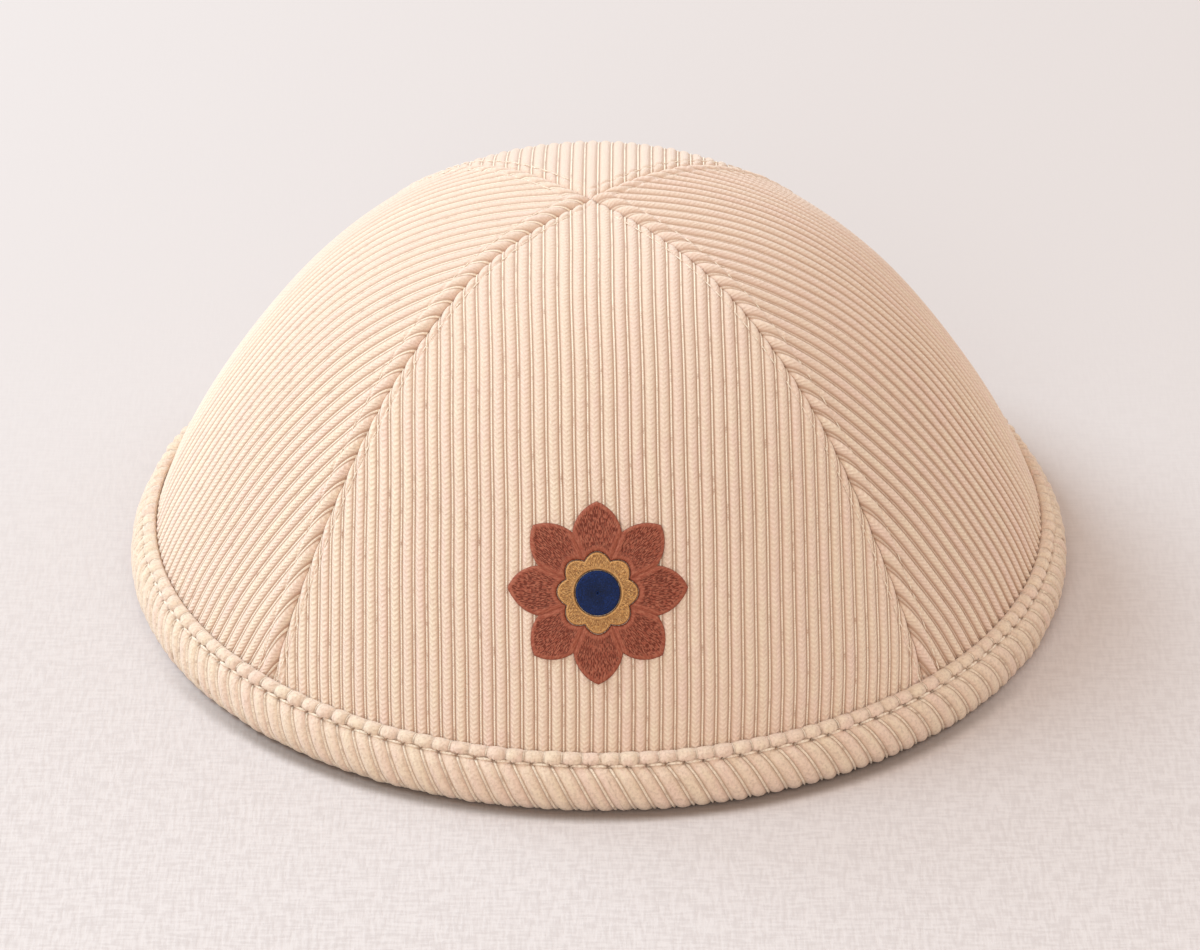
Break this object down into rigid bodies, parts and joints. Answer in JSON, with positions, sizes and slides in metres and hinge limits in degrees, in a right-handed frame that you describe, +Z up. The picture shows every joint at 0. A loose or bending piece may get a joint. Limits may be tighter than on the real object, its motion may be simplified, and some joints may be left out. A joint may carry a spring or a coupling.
{
  "type": "kippah skullcap",
  "caption": "Domed corduroy skullcap of sewn panels with a rolled ribbed binding and an embroidered rosette; covers the crown of the head.",
  "frame": {"origin": "middle of the rim, on the surface that the cap rests on", "axes": "+Z up through the crown, -Y to the front where the rosette is, +X to the viewer's right"},
  "size_m": [0.1704, 0.1704, 0.0728],
  "materials": {
    "corduroy": "cream cotton corduroy, soft nap",
    "binding": "cream cotton corduroy cut on the bias",
    "petal_thread": "terracotta embroidery thread, satin sheen",
    "ring_thread": "ochre embroidery thread, satin sheen",
    "centre_thread": "navy embroidery thread, satin sheen"
  },
  "bodies": {
    "root": {"panel_front": "corduroy", "panel_left": "corduroy", "panel_back": "corduroy", "panel_right": "corduroy", "edge_binding": "binding", "embroidery_petals": "petal_thread", "embroidery_ring": "ring_thread", "embroidery_centre": "centre_thread"}
  },
  "joints": []
}
